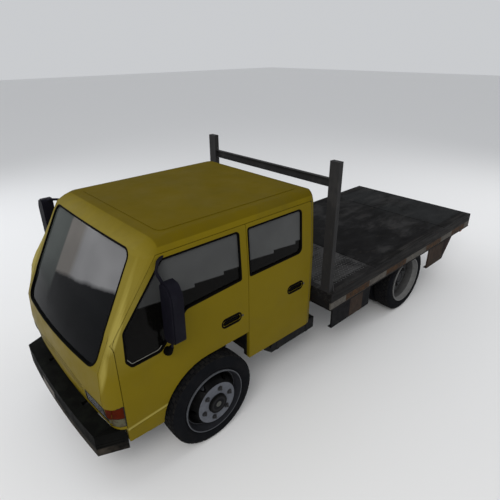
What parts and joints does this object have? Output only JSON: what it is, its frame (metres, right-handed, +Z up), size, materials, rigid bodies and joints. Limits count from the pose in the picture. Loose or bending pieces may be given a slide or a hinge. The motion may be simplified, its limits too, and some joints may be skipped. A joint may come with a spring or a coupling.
{
  "type": "crew-cab flatbed truck",
  "caption": "Yellow cab-over light truck with a four-door crew cab, twin rear wheels, a low flat steel deck and a goalpost headboard.",
  "frame": {"origin": "on the ground under the middle of the bounding box", "axes": "+Z up, +Y from the front bumper to the rear end of the deck, +X to the truck's left side"},
  "size_m": [2.2356, 6.42, 2.4911],
  "materials": {
    "paint_yellow": "gloss, dusty",
    "black_steel": "satin",
    "bumper_black": "matte",
    "cast": "dull",
    "deck_steel": "worn, stained",
    "rail_grey": "worn",
    "post_steel": "worn",
    "glass": "clear, tinted",
    "lamp_clear": "clear",
    "lamp_amber": "gloss",
    "lamp_red": "gloss",
    "interior": "matte",
    "seat_cloth": "woven",
    "tyre_rubber": "matte",
    "rim_silver": "satin"
  },
  "bodies": {
    "chassis": {"frame": "black_steel", "cross_members": "black_steel", "front_axle": "cast", "rear_axle": "cast", "leaf_springs": "cast", "drive_shaft": "cast", "engine": "cast", "fuel_tank": "black_steel", "battery_box": "black_steel", "exhaust": "cast", "front_bumper": "bumper_black", "deck_frame": "rail_grey", "deck_sills": "black_steel", "deck_beams": "rail_grey", "deck_floor": "deck_steel", "headboard": "post_steel", "side_skirts": "rail_grey", "tail_lamps": "lamp_red"},
    "cab": {"cab_floor": "black_steel", "cab_front": "paint_yellow", "cab_sides": "paint_yellow", "cab_back": "paint_yellow", "roof": "paint_yellow", "cab_glass": "glass", "dashboard": "interior", "steering_wheel": "interior", "seats": "seat_cloth", "headlamps": "lamp_clear", "corner_lamps": "lamp_amber"},
    "door_front_left": {"door_front_left": "paint_yellow", "glass_front_left": "glass", "mirror_left": "bumper_black"},
    "door_rear_left": {"door_rear_left": "paint_yellow", "glass_rear_left": "glass"},
    "knuckle_left": {"knuckle_left": "cast"},
    "front_wheel_left": {"tyre_front_left": "tyre_rubber", "rim_front_left": "rim_silver"},
    "rear_wheels_left": {"tyres_rear_left": "tyre_rubber", "rims_rear_left": "rim_silver"},
    "door_front_right": {"door_front_right": "paint_yellow", "glass_front_right": "glass", "mirror_right": "bumper_black"},
    "door_rear_right": {"door_rear_right": "paint_yellow", "glass_rear_right": "glass"},
    "knuckle_right": {"knuckle_right": "cast"},
    "front_wheel_right": {"tyre_front_right": "tyre_rubber", "rim_front_right": "rim_silver"},
    "rear_wheels_right": {"tyres_rear_right": "tyre_rubber", "rims_rear_right": "rim_silver"},
    "tie_rod": {"tie_rod": "cast"}
  },
  "joints": [
    {"name": "cab_tilt", "type": "hinge", "parent": "chassis", "child": "cab", "pos_m": [0, -3.091, 0.625], "axis": [1, 0, 0], "range_deg": [0, 45]},
    {"name": "door_front_left_swing", "type": "hinge", "parent": "cab", "child": "door_front_left", "pos_m": [0.916, -2.928, 1.2], "axis": [0, 0, -1], "range_deg": [0, 70]},
    {"name": "door_rear_left_swing", "type": "hinge", "parent": "cab", "child": "door_rear_left", "pos_m": [0.916, -1.58, 1.2], "axis": [0, 0, -1], "range_deg": [0, 70]},
    {"name": "door_front_right_swing", "type": "hinge", "parent": "cab", "child": "door_front_right", "pos_m": [-0.916, -2.928, 1.2], "axis": [0, 0, 1], "range_deg": [0, 70]},
    {"name": "door_rear_right_swing", "type": "hinge", "parent": "cab", "child": "door_rear_right", "pos_m": [-0.916, -1.58, 1.2], "axis": [0, 0, 1], "range_deg": [0, 70]},
    {"name": "steer_left", "type": "hinge", "parent": "chassis", "child": "knuckle_left", "pos_m": [0.8, -2.091, 0.47], "axis": [0, 0, 1], "range_deg": [-32, 32]},
    {"name": "steer_right", "type": "hinge", "parent": "chassis", "child": "knuckle_right", "pos_m": [-0.8, -2.091, 0.47], "axis": [0, 0, 1], "range_deg": [-32, 32]},
    {"name": "roll_front_left", "type": "hinge", "parent": "knuckle_left", "child": "front_wheel_left", "pos_m": [0.868, -2.091, 0.47], "axis": [1, 0, 0], "continuous": true},
    {"name": "roll_front_right", "type": "hinge", "parent": "knuckle_right", "child": "front_wheel_right", "pos_m": [-0.868, -2.091, 0.47], "axis": [1, 0, 0], "continuous": true},
    {"name": "roll_rear_left", "type": "hinge", "parent": "chassis", "child": "rear_wheels_left", "pos_m": [0.79, 1.359, 0.47], "axis": [1, 0, 0], "continuous": true},
    {"name": "roll_rear_right", "type": "hinge", "parent": "chassis", "child": "rear_wheels_right", "pos_m": [-0.79, 1.359, 0.47], "axis": [1, 0, 0], "continuous": true},
    {"name": "tie_rod_pivot", "type": "hinge", "parent": "knuckle_left", "child": "tie_rod", "pos_m": [0.8, -1.901, 0.382], "axis": [0, 0, 1], "range_deg": [-32, 32]}
  ],
  "couplings": [
    {"joint": "steer_right", "follows": "steer_left", "ratio": 1},
    {"joint": "tie_rod_pivot", "follows": "steer_left", "ratio": -1}
  ]
}
